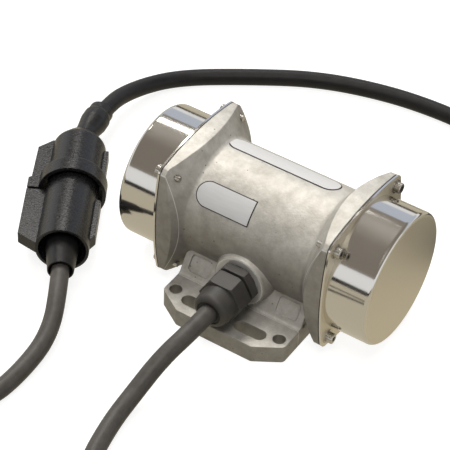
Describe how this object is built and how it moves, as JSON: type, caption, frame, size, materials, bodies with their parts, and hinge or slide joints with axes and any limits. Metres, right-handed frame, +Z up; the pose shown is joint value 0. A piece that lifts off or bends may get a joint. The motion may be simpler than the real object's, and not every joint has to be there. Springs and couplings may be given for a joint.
{
  "type": "external vibration motor",
  "caption": "Foot-mounted external vibration motor with adjustable eccentric weights under round end covers, and a lead with an in-line connector.",
  "frame": {"origin": "middle of the foot's mounting face, under the shaft", "axes": "+X along the rotor shaft, +Y to the rear, away from the cable gland, +Z up"},
  "size_m": [0.3245, 0.4397, 0.0752],
  "materials": {
    "cast_aluminium": "sand cast, bead blasted",
    "stainless_cover": "deep drawn, polished",
    "gasket_rubber": "flat sheet",
    "zinc_screw": "zinc plated",
    "turned_steel": "turned",
    "shield_aluminium": "turned",
    "bearing_steel": "ground",
    "lamination_steel": "stacked sheet",
    "copper_winding": "enamelled wire, varnished",
    "weight_iron": "machined, painted",
    "gland_plastic": "moulded",
    "seal_rubber": "moulded",
    "lead_rubber": "extruded sheath",
    "connector_plastic": "moulded",
    "contact_brass": "nickel free brass",
    "tie_fabric": "woven strap"
  },
  "bodies": {
    "frame": {"motor_housing": "cast_aluminium", "stator_core": "lamination_steel", "stator_winding": "copper_winding", "gland_washer": "seal_rubber", "gland_body": "gland_plastic", "gland_nut": "gland_plastic", "gland_seal": "seal_rubber", "motor_lead": "lead_rubber", "connector_plug_shell": "connector_plastic", "connector_plug_pins": "contact_brass", "connector_plug_sleeve": "seal_rubber", "connector_socket_shell": "connector_plastic", "connector_socket_contacts": "contact_brass", "connector_socket_sleeve": "seal_rubber", "supply_lead": "lead_rubber", "supply_lead_coil": "lead_rubber", "supply_lead_tail": "lead_rubber", "coil_tie": "tie_fabric", "mains_plug": "connector_plastic", "mains_plug_pins": "contact_brass", "left_cover": "stainless_cover", "left_cover_gasket": "gasket_rubber", "left_cover_screws": "zinc_screw", "left_cover_washers": "zinc_screw", "left_bearing_shield": "shield_aluminium", "left_shield_screws": "zinc_screw", "left_bearing_outer_ring": "bearing_steel", "right_cover": "stainless_cover", "right_cover_gasket": "gasket_rubber", "right_cover_screws": "zinc_screw", "right_cover_washers": "zinc_screw", "right_bearing_shield": "shield_aluminium", "right_shield_screws": "zinc_screw", "right_bearing_outer_ring": "bearing_steel"},
    "rotor": {"rotor_core": "lamination_steel", "rotor_cage": "shield_aluminium", "rotor_shaft": "turned_steel", "left_bearing_inner_ring": "bearing_steel", "left_fixed_weight": "weight_iron", "left_fixed_weight_key": "turned_steel", "left_fixed_weight_set_screw": "zinc_screw", "left_shaft_retaining_clip": "turned_steel", "right_bearing_inner_ring": "bearing_steel", "right_fixed_weight": "weight_iron", "right_fixed_weight_key": "turned_steel", "right_fixed_weight_set_screw": "zinc_screw", "right_shaft_retaining_clip": "turned_steel"},
    "left_ball_set": {"left_bearing_balls": "bearing_steel", "left_bearing_cage": "turned_steel"},
    "left_adjustable_weight": {"left_adjustable_weight": "weight_iron", "left_adjustable_weight_clamp_screw": "zinc_screw"},
    "right_ball_set": {"right_bearing_balls": "bearing_steel", "right_bearing_cage": "turned_steel"},
    "right_adjustable_weight": {"right_adjustable_weight": "weight_iron", "right_adjustable_weight_clamp_screw": "zinc_screw"}
  },
  "joints": [
    {"name": "rotor_spin", "type": "hinge", "parent": "frame", "child": "rotor", "pos_m": [0, 0, 0.0387], "axis": [1, 0, 0], "continuous": true},
    {"name": "left_ball_set_roll", "type": "hinge", "parent": "frame", "child": "left_ball_set", "pos_m": [-0.0402, 0, 0.0387], "axis": [1, 0, 0], "continuous": true},
    {"name": "right_ball_set_roll", "type": "hinge", "parent": "frame", "child": "right_ball_set", "pos_m": [0.0402, 0, 0.0387], "axis": [1, 0, 0], "continuous": true},
    {"name": "left_weight_adjust", "type": "hinge", "parent": "rotor", "child": "left_adjustable_weight", "pos_m": [-0.0618, 0, 0.0387], "axis": [1, 0, 0], "range_deg": [0, 180]},
    {"name": "right_weight_adjust", "type": "hinge", "parent": "rotor", "child": "right_adjustable_weight", "pos_m": [0.0618, 0, 0.0387], "axis": [1, 0, 0], "range_deg": [0, 180]}
  ],
  "couplings": [
    {"joint": "left_ball_set_roll", "follows": "rotor_spin", "ratio": 0.38},
    {"joint": "right_ball_set_roll", "follows": "rotor_spin", "ratio": 0.38}
  ]
}
